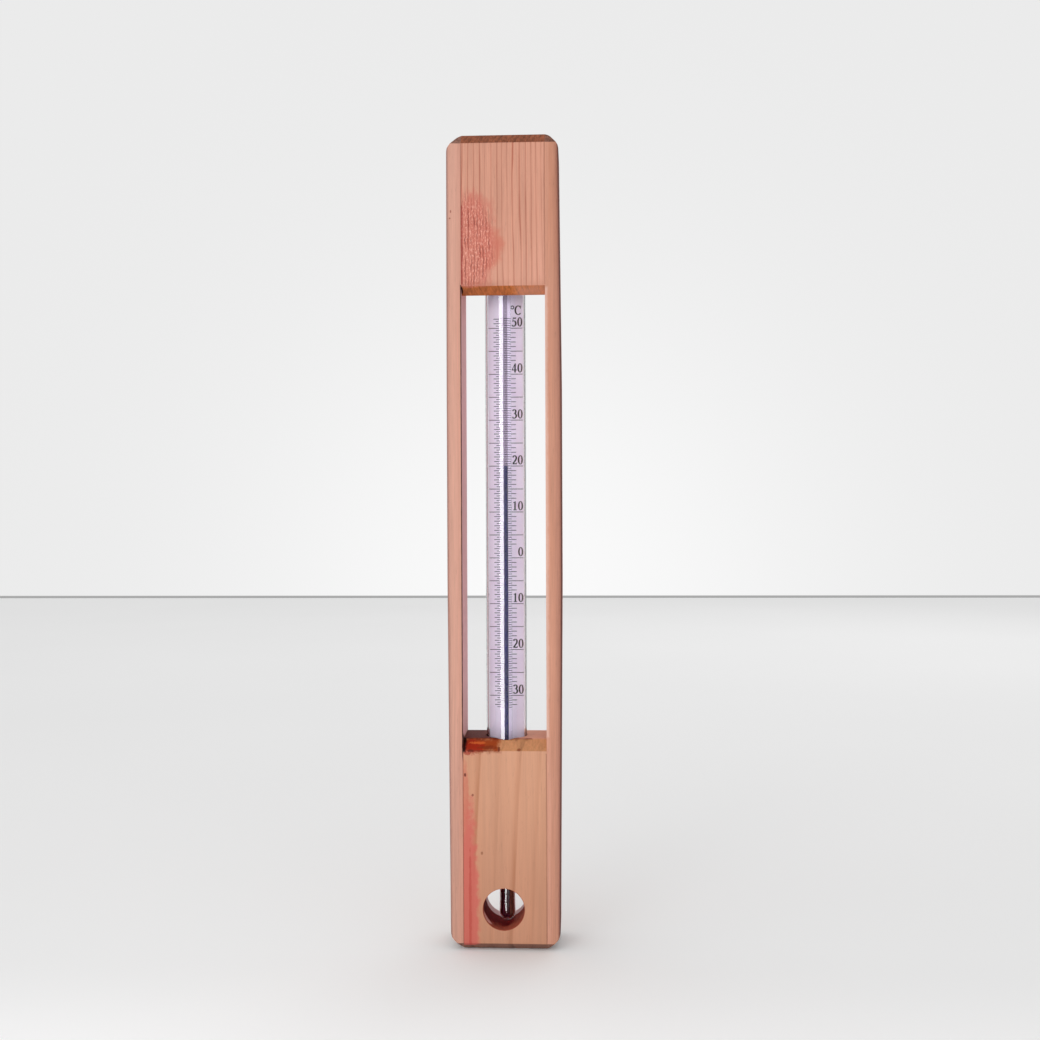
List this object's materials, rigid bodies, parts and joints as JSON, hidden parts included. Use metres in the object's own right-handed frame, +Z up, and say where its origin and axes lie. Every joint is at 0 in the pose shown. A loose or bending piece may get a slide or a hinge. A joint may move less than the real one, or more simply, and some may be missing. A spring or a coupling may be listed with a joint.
{
  "type": "beverage thermometer",
  "caption": "Tall wooden case with an open window that shows a glass thermometer, and a round hole across its bulb.",
  "frame": {"origin": "middle of the case's bottom end, halfway between its front and back faces", "axes": "+Z up along the glass tube, -Y out of the front where the scale is read, +X to the reader's right"},
  "size_m": [0.0408, 0.02, 0.29],
  "materials": {
    "rail_wood": "planed, oiled softwood",
    "block_wood": "planed, oiled softwood",
    "clear_glass": "clear, polished",
    "blue_spirit": "dyed liquid",
    "opal_glass": "opal, satin",
    "black_enamel": "fired enamel",
    "tie_wire": "drawn copper wire",
    "cork": "cork",
    "felt": "pressed felt"
  },
  "bodies": {
    "case": {"left_rail": "rail_wood", "right_rail": "rail_wood", "top_block": "block_wood", "bottom_block": "block_wood", "sheath": "clear_glass", "bulb": "clear_glass", "capillary": "clear_glass", "bulb_liquid": "blue_spirit", "liquid_column": "blue_spirit", "scale_plate": "opal_glass", "graduations": "black_enamel", "numerals": "black_enamel", "unit_mark": "black_enamel", "upper_tie": "tie_wire", "lower_tie": "tie_wire", "plate_saddle": "cork", "plate_plug": "cork", "top_pad": "felt", "shoulder_ring": "felt"},
    "liquid_head": {"meniscus": "blue_spirit"}
  },
  "joints": [
    {"name": "column_rise", "type": "slide", "parent": "case", "child": "liquid_head", "axis": [0, 0, 1], "range_m": [-0.08343, 0.05006], "deforming": ["liquid_column"]}
  ]
}
